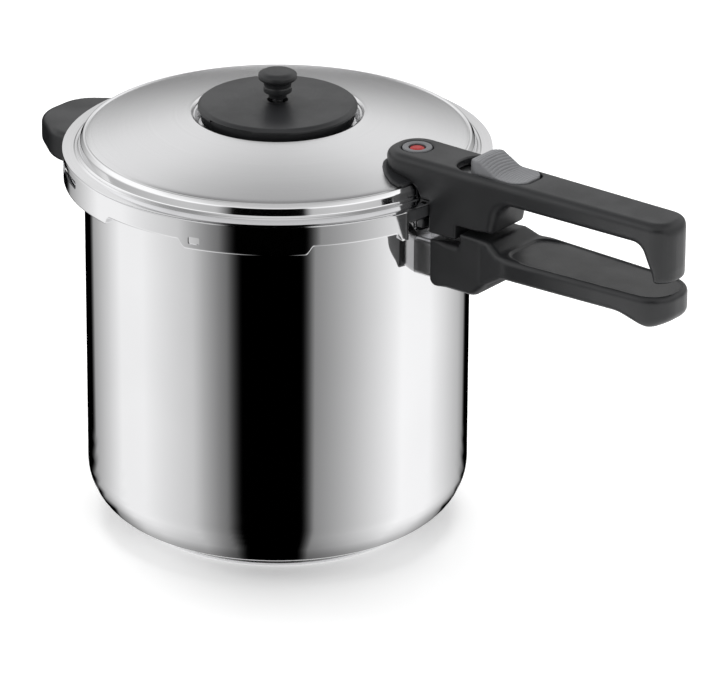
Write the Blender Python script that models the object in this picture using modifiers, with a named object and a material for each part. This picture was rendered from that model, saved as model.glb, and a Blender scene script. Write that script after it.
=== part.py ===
"""A stovetop pressure cooker, modelled as separate named pieces that move on real joints.

The frame stands on the base's underside: +Z is the pot's axis, pointing up, and +X is the middle line of the
long handles. Every size below is in millimetres and is turned into metres where a shape is made.
"""

import math

import bmesh
import bpy
from mathutils import Matrix, Vector

MM = 0.001
GAP = 0.3  # clearance between pieces that touch
STEPS = 60  # facets around the large turned pieces
MEDIUM_STEPS = 40  # facets around the middling ones
SMALL_STEPS = 20  # facets around the small ones

# Pot
WALL_R = 112.0
SHEET = 1.2
CORNER_R = 30.0
FLOOR_Z = 6.2
RIM_Z = 220.7
FLANGE_R = 117.5
LUG_R = 121.9
LUG_TIP_Z = 213.8
LUG_COUNT = 6
LUG_HALF_ANGLE = 11.5
BASE_R = 84.4

# Lid
LID_R = 124.4
LID_TOP_Z = 230.5
BORDER_R = 111.1
BORDER_Z = 238.2
WELL_R = 50.0
WELL_Z = 251.5
WELL_FLOOR_Z = 243.0
SKIRT_R = 124.0
SKIRT_Z = 229.0
SKIRT_LOW_Z = 216.5
LIP_Z = 211.5
LIP_IN_R = 118.0
LIP_HALF_ANGLE = 17.0

# Long handles
NOSE_X = 85.3
HANDLE_END_X = 283.5
NOSE_HALF = 17.6
END_HALF = 14.6
NOSE_ROUND = 14.0
END_ROUND = 13.5
HANDLE_TOP_Z = 254.0
GRIP_LOW_Z = 240.3
FOOT_Z = 219.2
FOOT_THICK = 2.3
BLOCK_X = 122.9
POT_BLOCK_X = 124.2
HELPER_END_X = -169.0
ARM_TOP_Z = 212.6
ARM_LOW_Z = 199.3
ARM_HALF = 23.5  # the lower arm is widest behind its block, then tapers to its end
ARM_END_HALF = 18.8
RAIL = 3.2  # width of the raised rim round the lower arm's dished top
DISH_DEPTH = 1.4

# Screws
SCREW_HEAD_R = 4.4
SCREW_SHANK_R = 2.05
SCREW_HOLE_R = 2.4
POT_SCREW_X = 146.0
LID_SCREW_X = 154.0
HELPER_SCREW_X = -123.0

# Moving pieces
INDICATOR_X = 101.5
GUIDE_ROOM_R = 8.4
PAWL_X = 134.0
CAM_SLOPE = 0.6  # how far the pawl drops for each millimetre that the slider moves
CAM_TOP_Z = 247.0
RAMP_X = 168.0  # where the slider's ramp meets its flat tail
RAMP_LOW_Z = 254.5
RAMP_SLOPE = 0.56
RIB_COUNT = 8

MATERIALS = {
    "polished_steel": ((0.78, 0.78, 0.79), 0.08, 1.0),
    "satin_steel": ((0.70, 0.70, 0.71), 0.28, 1.0),
    "plain_steel": ((0.55, 0.55, 0.56), 0.35, 1.0),
    "aluminium": ((0.80, 0.80, 0.81), 0.40, 1.0),
    "black_plastic": ((0.035, 0.036, 0.038), 0.45, 0.0),
    "grey_plastic": ((0.16, 0.16, 0.17), 0.45, 0.0),
    "bezel_grey": ((0.36, 0.37, 0.38), 0.35, 0.0),
    "signal_red": ((0.72, 0.03, 0.03), 0.35, 0.0),
    "silicone": ((0.05, 0.05, 0.055), 0.60, 0.0),
    "brass": ((0.75, 0.58, 0.30), 0.30, 1.0),
}


def clear_scene():
    for obj in list(bpy.data.objects):
        bpy.data.objects.remove(obj, do_unlink=True)


clear_scene()
PARTS = bpy.data.collections.new("pressure_cooker")
CUTTERS = bpy.data.collections.new("cutters")
bpy.context.scene.collection.children.link(PARTS)
bpy.context.scene.collection.children.link(CUTTERS)


# ---------------------------------------------------------------- helpers


def material(name):
    """The named material, made the first time it is asked for."""
    found = bpy.data.materials.get(name)
    if found:
        return found
    colour, roughness, metallic = MATERIALS[name]
    made = bpy.data.materials.new(name)
    made.use_nodes = True
    shader = made.node_tree.nodes["Principled BSDF"]
    shader.inputs["Base Color"].default_value = (*colour, 1.0)
    shader.inputs["Roughness"].default_value = roughness
    shader.inputs["Metallic"].default_value = metallic
    return made


def part(obj, look, parent=None):
    """Puts a piece in the object's collection with its material, under its body's empty."""
    PARTS.objects.link(obj)
    obj.data.materials.append(material(look))
    if parent:
        obj.parent = parent
        obj.matrix_parent_inverse = Matrix.Translation(parent.location).inverted()
    return obj


def tool(obj):
    """Puts a shape in the cutters' collection, where nothing renders it."""
    CUTTERS.objects.link(obj)
    obj.hide_render = True
    obj.display_type = "WIRE"
    return obj


def axis_empty(name, x, y, z):
    """An empty on a joint's axis, which the moving pieces hang from."""
    empty = bpy.data.objects.new(name, None)
    empty.location = (x * MM, y * MM, z * MM)
    PARTS.objects.link(empty)
    return empty


def boolean(obj, other, operation):
    modifier = obj.modifiers.new(f"{operation.lower()}_{other.name}", "BOOLEAN")
    modifier.operation = operation
    modifier.object = other


def cut(obj, *tools):
    for other in tools:
        boolean(obj, other, "DIFFERENCE")


def keep_common(obj, other):
    boolean(obj, other, "INTERSECT")


def join(obj, *tools):
    for other in tools:
        boolean(obj, other, "UNION")


def from_bmesh(name, bm):
    mesh = bpy.data.meshes.new(name)
    bmesh.ops.recalc_face_normals(bm, faces=bm.faces)
    bm.to_mesh(mesh)
    bm.free()
    return bpy.data.objects.new(name, mesh)


def turned(name, profile, closed=True, steps=STEPS):
    """A profile of (radius, z) turned about Z. It runs down its outer side, top to bottom."""
    bm = bmesh.new()
    verts = [bm.verts.new((r * MM, 0, z * MM)) for r, z in profile]
    for a, b in zip(verts, verts[1:]):
        bm.edges.new((a, b))
    if closed:
        bm.edges.new((verts[-1], verts[0]))
    mesh = bpy.data.meshes.new(name)
    bm.to_mesh(mesh)
    bm.free()
    obj = bpy.data.objects.new(name, mesh)
    screw = obj.modifiers.new("turn", "SCREW")
    screw.steps = screw.render_steps = steps
    screw.use_merge_vertices = True
    screw.merge_threshold = 0.00001
    screw.use_smooth_shade = True
    return obj


def sheet(name, profile, thickness, side, steps=STEPS):
    """An open profile turned about Z and thickened, as pressed sheet metal is."""
    obj = turned(name, profile, closed=False, steps=steps)
    solid = obj.modifiers.new("thickness", "SOLIDIFY")
    solid.thickness = thickness * MM
    solid.offset = side
    solid.use_even_offset = True
    return obj


def pin(name, radius, low, high, x=0.0, y=0.0, steps=SMALL_STEPS):
    """A plain cylinder standing along Z."""
    bm = bmesh.new()
    place = Matrix.Translation((x * MM, y * MM, (low + high) / 2 * MM))
    bmesh.ops.create_cone(
        bm,
        cap_ends=True,
        segments=steps,
        radius1=radius * MM,
        radius2=radius * MM,
        depth=(high - low) * MM,
        matrix=place,
    )
    return from_bmesh(name, bm)


def box(name, low, high):
    bm = bmesh.new()
    bmesh.ops.create_cube(bm, size=1.0)
    size = [(b - a) * MM for a, b in zip(low, high)]
    middle = [(a + b) / 2 * MM for a, b in zip(low, high)]
    bmesh.ops.scale(bm, vec=size, verts=bm.verts)
    bmesh.ops.translate(bm, vec=middle, verts=bm.verts)
    return from_bmesh(name, bm)


def rounded(corners, steps=4):
    """The outline through corners of (u, v, radius), each rounded by an arc."""
    points = []
    for i, (u, v, radius) in enumerate(corners):
        here = Vector((u, v))
        before = Vector(corners[i - 1][:2]) - here
        after = Vector(corners[(i + 1) % len(corners)][:2]) - here
        half = before.angle(after) / 2
        reach = min(radius / math.tan(half), 0.49 * before.length, 0.49 * after.length)
        if reach < 0.01:
            points.append(here)
            continue
        before.normalize()
        after.normalize()
        centre = here + (before + after).normalized() * reach / math.cos(half)
        first = here + before * reach - centre
        last = here + after * reach - centre
        sweep = first.angle(last)
        for k in range(steps + 1):
            t = k / steps
            weight_a = math.sin((1 - t) * sweep) / math.sin(sweep)
            weight_b = math.sin(t * sweep) / math.sin(sweep)
            points.append(centre + first * weight_a + last * weight_b)
    return [(p.x, p.y) for p in points]


FRAMES = {
    "X": Matrix(((0, 0, 1, 0), (1, 0, 0, 0), (0, 1, 0, 0), (0, 0, 0, 1))),
    "Y": Matrix(((1, 0, 0, 0), (0, 0, -1, 0), (0, 1, 0, 0), (0, 0, 0, 1))),
    "Z": Matrix.Identity(4),
}


def prism(name, outline, axis, low, high):
    """A flat outline extruded along an axis: (y, z) along X, (x, z) along Y or (x, y) along Z."""
    curve = bpy.data.curves.new(name, "CURVE")
    curve.dimensions = "2D"
    curve.fill_mode = "BOTH"
    curve.extrude = (high - low) / 2 * MM
    spline = curve.splines.new("POLY")
    spline.points.add(len(outline) - 1)
    for point, (u, v) in zip(spline.points, outline):
        point.co = (u * MM, v * MM, 0, 1)
    spline.use_cyclic_u = True
    holder = bpy.data.objects.new(name + "_outline", curve)
    CUTTERS.objects.link(holder)
    graph = bpy.context.evaluated_depsgraph_get()
    mesh = bpy.data.meshes.new_from_object(holder.evaluated_get(graph))
    bpy.data.objects.remove(holder, do_unlink=True)
    middle = (low + high) / 2 * MM
    if axis == "Y":
        middle = -middle
    bm = bmesh.new()
    bm.from_mesh(mesh)
    bmesh.ops.remove_doubles(bm, verts=bm.verts, dist=0.000001)
    bmesh.ops.transform(
        bm, matrix=FRAMES[axis] @ Matrix.Translation((0, 0, middle)), verts=bm.verts
    )
    return from_bmesh(name, bm)


def sector(name, r_in, r_out, z_low, z_high, angle, half_low, half_high, steps=6):
    """A piece of a ring about Z, at an angle. Its half width in degrees changes from its foot to its top."""
    turns = [2 * k / steps - 1 for k in range(steps + 1)]
    arcs = [(r_out, t) for t in turns] + [(r_in, t) for t in reversed(turns)]
    bearings = [(r, math.radians(t * half_low)) for r, t in arcs]
    outline = [(r * math.cos(a), r * math.sin(a)) for r, a in bearings]
    obj = prism(name, outline, "Z", z_low, z_high)
    for vertex in obj.data.vertices:
        high = vertex.co.z > (z_low + z_high) / 2 * MM
        bearing = math.atan2(vertex.co.y, vertex.co.x) * (half_high / half_low if high else 1.0)
        bearing += math.radians(angle)
        radius = math.hypot(vertex.co.x, vertex.co.y)
        vertex.co.x = radius * math.cos(bearing)
        vertex.co.y = radius * math.sin(bearing)
    return obj


def coil(name, x, y, low, high, radius, wire, turns):
    """A round wire spring standing along Z, as one curve with its ends capped."""
    per_turn = 10
    curve = bpy.data.curves.new(name, "CURVE")
    curve.dimensions = "3D"
    curve.bevel_depth = wire / 2 * MM
    curve.bevel_resolution = 0
    curve.use_fill_caps = True
    count = int(turns * per_turn) + 1
    spline = curve.splines.new("POLY")
    spline.points.add(count - 1)
    for k, point in enumerate(spline.points):
        turn = 2 * math.pi * k / per_turn
        height = low + wire / 2 + (high - low - wire) * k / (count - 1)
        point.co = (
            (x + radius * math.cos(turn)) * MM,
            (y + radius * math.sin(turn)) * MM,
            height * MM,
            1,
        )
    return bpy.data.objects.new(name, curve)


def screw_piece(name, x, head_z, length):
    """A pan-head screw on the middle line, driven up from below, with a cross recess in its head."""
    under_head = head_z + 2.2
    levels = [head_z + length, under_head, under_head, head_z + 0.5, head_z]
    radii = [SCREW_SHANK_R, SCREW_SHANK_R, SCREW_HEAD_R, SCREW_HEAD_R, SCREW_HEAD_R - 0.7]
    profile = [(0, levels[0])] + list(zip(radii, levels)) + [(0, levels[-1])]
    obj = turned(name, profile, closed=False, steps=16)
    obj.location = (x * MM, 0, 0)
    arm_length, arm_width = SCREW_HEAD_R * 0.62, 0.45
    for i, (half_x, half_y) in enumerate(((arm_length, arm_width), (arm_width, arm_length))):
        slot = box(f"cut_{name}_{i}", (x - half_x, -half_y, head_z - 1), (x + half_x, half_y, head_z + 1.1))
        cut(obj, tool(slot))
    return obj


def nut(name, corner_r, bore_r, low, high, x=0.0):
    """A plain six-sided nut on a vertical axis."""
    obj = pin(name, corner_r, low, high, x, steps=6)
    cut(obj, tool(pin(f"cut_{name}_bore", bore_r, low - 1, high + 1, x)))
    return obj


def arc(centre_r, centre_z, radius, start, end, steps):
    """Points (radius, z) on an arc between two bearings in degrees."""
    turns = [math.radians(start + (end - start) * k / steps) for k in range(steps + 1)]
    return [(centre_r + radius * math.cos(a), centre_z + radius * math.sin(a)) for a in turns]


# ---------------------------------------------------------------- shared outlines

# The dome's height runs from the well's edge to the border, flattening out towards the border.
DOME = [(62.0, 249.4), (75.0, 246.2), (88.0, 242.4), (98.0, 239.6), (105.0, 238.5)]
LID_FACE = (
    [(WELL_R, WELL_Z)]
    + DOME
    + [(BORDER_R, BORDER_Z), (113.2, 237.0), (114.6, 234.8), (115.1, 231.8)]
    + [(117.2, LID_TOP_Z), (LID_R, LID_TOP_Z)]
)


def plan(inset=0.0, start=NOSE_X):
    """The upper handle's outline seen from above: a round nose, a slow taper and a rounded end."""
    nose, end = NOSE_HALF - inset, END_HALF - inset
    left, right = start + inset, HANDLE_END_X - inset
    front, back = NOSE_ROUND - inset, END_ROUND - inset
    return rounded([(left, -nose, front), (right, -end, back), (right, end, back), (left, nose, front)], 5)


def arm_plan(inset=0.0, start=110.0):
    """The lower handle's outline seen from above: level with the upper block, then a wide tapering arm."""
    wide, end, right = ARM_HALF - inset, ARM_END_HALF - inset, HANDLE_END_X + 0.8 - inset
    half = [(start, -NOSE_HALF + inset, 1.0), (160.0, -NOSE_HALF + inset, 14.0)]
    half += [(180.0 + inset, -wide, 22.0), (right, -end, 17.5 - inset)]
    return rounded(half + [(x, -y, r) for x, y, r in reversed(half)], 5)


def lid_clearance():
    """Everything that the lid's pressed sheet fills, GAP larger, for the pieces that sit on it."""
    top = [(r, z + GAP) for r, z in LID_FACE]
    outline = [(0, WELL_Z + GAP)] + top + [(LID_R, 200.0), (0, 200.0)]
    return tool(turned("cut_lid_face", outline, closed=False))


# ---------------------------------------------------------------- pot


def pot_body():
    inner = (
        [(LUG_R, LUG_TIP_Z), (LUG_R, RIM_Z - 1.1), (LUG_R - 1.1, RIM_Z), (114.2, RIM_Z), (112.0, RIM_Z - 0.9)]
        + [(WALL_R - SHEET, RIM_Z - 3.4), (WALL_R - SHEET, FLOOR_Z + CORNER_R)]
        + arc(WALL_R - CORNER_R, FLOOR_Z + CORNER_R, CORNER_R - SHEET, 0, -90, 5)[1:]
        + [(0, FLOOR_Z + SHEET)]
    )
    pot = part(sheet("pot_body", inner, SHEET, 1.0), "polished_steel")
    pitch = 360 / LUG_COUNT
    half = pitch / 2 - LUG_HALF_ANGLE
    for i in range(LUG_COUNT):
        gap = sector(f"cut_lug_gap_{i}", FLANGE_R, 128, 205, 225, pitch * (i + 0.5), half, half, 10)
        cut(pot, tool(gap))


def base():
    """The heat-spreading disc under the floor, and the steel cap that wraps it."""
    core = [(0, 5.8), (82.6, 5.8), (83.0, 5.4), (83.0, 2.4), (81.9, 1.3), (0, 1.3)]
    part(turned("base_core", core, closed=False, steps=MEDIUM_STEPS), "aluminium")
    cap = (
        [(0, 0.9), (81.9, 0.9), (83.0, 1.8), (83.5, 2.5), (83.5, 5.9), (BASE_R, 5.9)]
        + [(BASE_R, 2.2), (83.7, 0.6), (82.0, 0), (0, 0)]
    )
    part(turned("base_cap", cap, closed=False), "satin_steel")


def dish_plan():
    """The outline of the dish in the lower arm's top, which leaves a rail round it."""
    right, wide, end = HANDLE_END_X + 0.8 - RAIL, ARM_HALF - RAIL, ARM_END_HALF - RAIL
    half = [(177.0, -wide + 4.0, 8.0), (192.0, -wide, 20.0), (right, -end, 14.5)]
    return rounded(half + [(x, -y, r) for x, y, r in reversed(half)], 5)


def pot_handle():
    """The lower long handle: a block at the pot, then a wide flat arm with a shallow dish in its top."""
    block = [
        (POT_BLOCK_X, 209.0, 1.0),
        (143.6, 209.0, 1.2),
        (144.8, 217.0, 1.2),
        (166.0, 217.0, 5.0),
    ]
    end = [
        (HANDLE_END_X + 1.0, ARM_TOP_Z, 5.0),
        (HANDLE_END_X + 1.0, 198.0, 10.0),
        (HANDLE_END_X - 9.0, 193.4, 8.0),
    ]
    arm_top = [(174.5, ARM_TOP_Z, 8.0)]
    arm_low = [(HANDLE_END_X - 28.0, ARM_LOW_Z, 24.0), (179.0, ARM_LOW_Z, 12.0)]
    throat = [(164.0, 189.5, 12.0), (155.0, 181.0, 8.0), (POT_BLOCK_X, 181.0, 4.0)]
    side = rounded(block + arm_top + end + arm_low + throat)
    handle = part(prism("pot_handle", side, "Y", -28, 28), "black_plastic")
    keep_common(handle, tool(prism("cut_pot_handle_plan", arm_plan(), "Z", 170, 240)))
    cut(
        handle,
        tool(prism("cut_arm_dish", dish_plan(), "Z", ARM_TOP_Z - DISH_DEPTH, 240)),
        tool(box("cut_tongue_pocket", (POT_BLOCK_X - 2, -9.3, 187.7), (152.3, 9.3, 200.3))),
        tool(box("cut_catch_seat", (126.7, -9.3, 206.4), (141.3, 9.3, 212.0))),
        tool(box("cut_catch_pocket", (129.7, -5.0, 202.5), (138.3, 5.0, 208.0))),
        tool(pin("cut_pot_screw_head", SCREW_HEAD_R + 0.4, 178, 184.2, POT_SCREW_X)),
        tool(pin("cut_pot_screw_hole", SCREW_HOLE_R, 180, 188.5, POT_SCREW_X)),
    )


def pot_handle_fittings():
    """The steel bracket on the pot's wall, its screw, and the plate that the lock drops into."""
    ferrule = rounded([(-14.5, 183, 3), (14.5, 183, 3), (14.5, 206, 3), (-14.5, 206, 3)])
    bracket = part(prism("pot_handle_bracket", ferrule, "X", 105, POT_BLOCK_X - GAP), "polished_steel")
    join(bracket, tool(box("add_tongue", (118, -9, 188), (152, 9, 200))))
    cut(bracket, tool(pin("cut_pot_wall", WALL_R + GAP, 150, 230, steps=STEPS)))
    cut(bracket, tool(pin("cut_tongue_hole", SCREW_HOLE_R, 180, 197, POT_SCREW_X)))
    part(screw_piece("pot_handle_screw", POT_SCREW_X, 181.6, 15.0), "plain_steel")
    plate = part(box("catch_plate", (127, -9, 206.8), (141, 9, 208.8)), "plain_steel")
    cut(plate, tool(box("cut_catch_hole", (130.2, -4.6, 205), (137.8, 4.6, 211))))


def helper_handle():
    """The short handle opposite, its bracket and the screw that holds it from below."""
    half = [(-100, -38, 2), (-142, -37, 22), (HELPER_END_X, -17, 24)]
    outline = rounded(half + [(x, -y, r) for x, y, r in reversed(half)])
    top = [(-100, 216, 1), (HELPER_END_X, 216, 5)]
    underside = [(HELPER_END_X, 199, 6), (-128, 197, 8), (-120, 192, 8), (-100, 192, 1)]
    handle = part(prism("helper_handle", outline, "Z", 185, 222), "black_plastic")
    keep_common(handle, tool(prism("cut_helper_side", rounded(top + underside), "Y", -45, 45)))
    cut(
        handle,
        # The lid's skirt and lips swing past above, so the root stays outside and below them.
        tool(pin("cut_helper_skirt", LID_R + 1.6, 209.5, 230, steps=STEPS)),
        tool(pin("cut_helper_wall", WALL_R + GAP, 150, 230, steps=STEPS)),
        tool(box("cut_helper_pocket", (-130.3, -14.3, 194.7), (-105, 14.3, 205.3))),
        tool(pin("cut_helper_head", SCREW_HEAD_R + 0.4, 188, 194.0, HELPER_SCREW_X)),
        tool(pin("cut_helper_screw_hole", SCREW_HOLE_R, 188, 196.0, HELPER_SCREW_X)),
    )
    grip = rounded([(-134, -26, 4), (-152, -22, 9), (-152, 22, 9), (-134, 26, 4)])
    cut(handle, tool(prism("cut_helper_grip", grip, "Z", 190, 206)))
    bracket = part(box("helper_handle_bracket", (-130, -14, 195), (-105, 14, 205)), "plain_steel")
    cut(
        bracket,
        tool(pin("cut_helper_bracket_wall", WALL_R + GAP, 150, 230, steps=STEPS)),
        tool(pin("cut_helper_hole", SCREW_HOLE_R, 190, 203.5, HELPER_SCREW_X)),
    )
    part(screw_piece("helper_handle_screw", HELPER_SCREW_X, 191.2, 11.5), "plain_steel")


# ---------------------------------------------------------------- lid


def gasket(parent):
    body = [(113.4, 228.2), (121.8, 228.2), (122.2, 227.8), (122.2, 222.4), (121.6, 221.1), (116.0, 221.1)]
    lip = [(112.6, 221.6), (112.0, 222.2), (112.4, 222.8), (117.6, 223.4), (117.6, 225.4), (113.0, 227.2)]
    part(turned("gasket", body + lip, steps=48), "silicone", parent)


def lid_shell(parent):
    well = [(9.4, WELL_FLOOR_Z), (45.8, WELL_FLOOR_Z), (47.4, 244.4), (48.7, 250.4)]
    shell = part(sheet("lid_shell", well + LID_FACE, SHEET, -1.0), "satin_steel", parent)
    cut(
        shell,
        tool(pin("cut_indicator_hole", 4.4, 225, 250, INDICATOR_X)),
        tool(box("cut_plate_flat", (BLOCK_X - GAP, -19, 226), (130, 19, 233))),
    )


def bayonet_ring(parent):
    thick = 1.1
    edge = [(SKIRT_R - thick, SKIRT_Z), (SKIRT_R - 0.7, SKIRT_Z), (SKIRT_R, SKIRT_Z - 0.7)]
    outside = edge + [(SKIRT_R, LIP_Z + 0.9), (SKIRT_R - 0.9, LIP_Z)]
    lip = [(LIP_IN_R, LIP_Z), (LIP_IN_R, LIP_Z + thick), (SKIRT_R - thick, LIP_Z + thick + 0.3)]
    ring = part(turned("bayonet_ring", outside + lip), "polished_steel", parent)
    pitch = 360 / LUG_COUNT
    half = pitch / 2 - LIP_HALF_ANGLE
    for i in range(LUG_COUNT):
        middle = pitch * (i + 0.5)
        gap = sector(f"cut_lip_gap_{i}", 114, 128, 206, SKIRT_LOW_Z, middle, half + 0.6, half - 1.4, 8)
        cut(ring, tool(gap))
    cut(
        ring,
        tool(sector("cut_handle_gap", 112, 130, 205, 232, 0, 14.5, 14.5, 6)),
        tool(sector("cut_gasket_window", 119, 130, 220.2, 225.4, -129, 9.5, 9.5, 4)),
        tool(sector("cut_mark", 119, 130, 214.6, 219.4, -73.5, 1.5, 1.5, 2)),
    )


def lid_handle(parent):
    """The upper long handle: nose, locking block, arm and the foot that closes the finger loop."""
    nose = [
        (NOSE_X, 245.6, 2.0),
        (98.5, 241.7, 12.0),
        (108.6, 240.3, 4.0),
        (114.3, 237.4, 2.0),
        (116.6, 232.5, 0.6),
        (BLOCK_X, 232.5, 0.0),
    ]
    block = [
        (BLOCK_X, 212.3, 1.0),
        (141.4, 212.3, 1.0),
        (141.4, 221.0, 1.0),
        (166.2, 221.0, 1.2),
        (170.4, GRIP_LOW_Z, 11.0),
    ]
    foot = [
        (HANDLE_END_X - 17.8, GRIP_LOW_Z, 8.0),
        (HANDLE_END_X - 8.4, FOOT_Z, 2.5),
        (HANDLE_END_X - 3.0, FOOT_Z, 4.0),
        (HANDLE_END_X + 0.5, 231.0, 7.0),
    ]
    top = [(HANDLE_END_X + 0.5, HANDLE_TOP_Z, 6.0), (NOSE_X, HANDLE_TOP_Z, 4.0)]
    side = rounded(nose + block + foot + top)
    handle = part(prism("lid_handle", side, "Y", -22, 22), "black_plastic", parent)
    keep_common(handle, tool(prism("cut_lid_handle_plan", plan(), "Z", 205, 260)))
    channel = rounded([(129, -14.2, 3), (190, -14.2, 3), (190, 14.2, 3), (129, 14.2, 3)])
    mouth = rounded([(133.4, -12.6, 11), (184.4, -12.6, 9), (184.4, 12.6, 9), (133.4, 12.6, 11)])
    cut(
        handle,
        tool(prism("cut_slider_channel", channel, "Z", 243.6, 249.4)),
        tool(prism("cut_slider_mouth", mouth, "Z", 248, 260)),
        tool(box("cut_cam_room", (120.0, -6.6, 232.0), (150.0, 6.6, 245.0))),
        tool(box("cut_cam_head_room", (120.0, -6.6, 232.0), (132.0, 6.6, 248.8))),
        tool(box("cut_strap_slot", (110.0, -9.3, 230.0), (162.3, 9.3, 232.7))),
        tool(pin("cut_pawl_bore", 2.9, 205, 223, PAWL_X)),
        tool(pin("cut_spring_bore", 4.6, 222, 234, PAWL_X)),
        tool(pin("cut_lid_screw_head", SCREW_HEAD_R + 0.4, 218, 224.2, LID_SCREW_X)),
        tool(pin("cut_lid_screw_hole", SCREW_HOLE_R, 220, 230.5, LID_SCREW_X)),
        tool(pin("cut_indicator_bore", 5.2, 232, 260, INDICATOR_X)),
        tool(pin("cut_guide_room", GUIDE_ROOM_R, 232, 249.0, INDICATOR_X)),
        tool(pin("cut_bezel_seat", 9.0, 251.0, 260, INDICATOR_X, steps=MEDIUM_STEPS)),
    )


def lid_handle_fittings(parent, face):
    """The shell under the nose, the steel strap that holds the handle, and its screw."""
    seam = [
        (NOSE_X - 0.2, 245.2, 0.0),
        (98.3, 241.3, 12.0),
        (108.4, 239.9, 4.0),
        (113.9, 237.1, 2.0),
        (116.3, 232.1, 0.5),
        (BLOCK_X - 0.9, 232.1, 0.0),
    ]
    below = rounded(seam + [(BLOCK_X - 0.9, 205.0, 0.0), (NOSE_X - 0.2, 205.0, 0.0)])
    under = part(prism("lid_handle_underplate", below, "Y", -22, 22), "black_plastic", parent)
    keep_common(under, tool(prism("cut_underplate_plan", plan(inset=GAP), "Z", 205, 260)))
    # The shell spreads into a thin foot that hugs the lid on both sides of the nose.
    side = [(NOSE_X + 1.5, -13, 3), (95.0, -21.5, 8), (102.5, -25.4, 8), (109.5, -25.2, 3), (111.0, -16.2, 1)]
    footprint = rounded(side + [(x, -y, r) for x, y, r in reversed(side)])
    foot = prism("add_foot", footprint, "Z", 225, 250)
    over_lid = [(r, z + FOOT_THICK) for r, z in LID_FACE]
    cover = [(0, WELL_Z + FOOT_THICK)] + over_lid + [(LID_R, 200.0), (0, 200.0)]
    keep_common(foot, tool(turned("keep_foot", cover, closed=False)))
    lower_seam = [(x, z - 0.2, r) for x, z, r in seam]
    above = rounded(lower_seam + [(BLOCK_X - 0.9, 260.0, 0.0), (NOSE_X - 0.2, 260.0, 0.0)])
    cut(foot, tool(prism("cut_under_nose", above, "Y", -30, 30)))
    join(under, tool(foot))
    cut(
        under,
        face,
        tool(pin("cut_guide_gap", GUIDE_ROOM_R, 225, 252, INDICATOR_X)),
        tool(box("cut_strap_gap", (115.4, -9.3, 228.0), (125.0, 9.3, 234.0))),
    )
    strap_outline = [(116.0, -9), (162, -9), (162, 9), (116.0, 9)]
    strap_sheet = prism("lid_handle_bracket", strap_outline, "Z", LID_TOP_Z + GAP, 232.4)
    strap = part(strap_sheet, "plain_steel", parent)
    cut(
        strap,
        face,
        tool(pin("cut_strap_spring_hole", 4.6, 229, 234, PAWL_X)),
        tool(pin("cut_strap_screw_hole", SCREW_HOLE_R, 229, 234, LID_SCREW_X)),
    )
    part(screw_piece("lid_handle_screw", LID_SCREW_X, 221.6, 10.6), "plain_steel", parent)


def indicator(parent, lid):
    """The pressure indicator: a float pin in a guide through the lid, under a red cap in a grey bezel."""
    x = INDICATOR_X
    bezel = [(5.0, 254.3), (7.9, 254.3), (8.7, 253.7), (8.7, 251.3), (5.0, 251.3)]
    collar = [(2.6, 248.0), (4.6, 248.0), (4.6, 244.2), (7.6, 244.2), (7.6, 242.4)]
    guide = collar + [(4.0, 242.4), (4.0, 229.5), (2.6, 229.5)]
    seal = [(4.2, 236.2), (7.4, 236.2), (7.4, 234.8), (4.2, 234.8)]
    pieces = [
        ("indicator_bezel", bezel, "bezel_grey", lid, MEDIUM_STEPS),
        ("indicator_guide", guide, "brass", lid, SMALL_STEPS),
        ("indicator_seal", seal, "silicone", lid, SMALL_STEPS),
    ]
    for name, profile, look, owner, steps in pieces:
        obj = part(turned(name, profile, steps=steps), look, owner)
        obj.matrix_parent_inverse.translation += Vector((x * MM, 0, 0))
    part(nut("indicator_nut", 7.4, 4.3, 230.6, 234.5, x), "brass", lid)
    stem = [(0, 248.0), (2.2, 248.0), (2.2, 224.4), (4.4, 223.2), (4.4, 221.8), (0, 221.8)]
    cap = [(0, 253.6), (3.6, 253.6), (4.5, 252.9), (4.5, 248.3), (0, 248.3)]
    moving = [("indicator_pin", stem, "plain_steel"), ("indicator_cap", cap, "signal_red")]
    for name, profile, look in moving:
        obj = turned(name, profile, closed=False, steps=SMALL_STEPS)
        part(obj, look)
        obj.parent = parent


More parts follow.
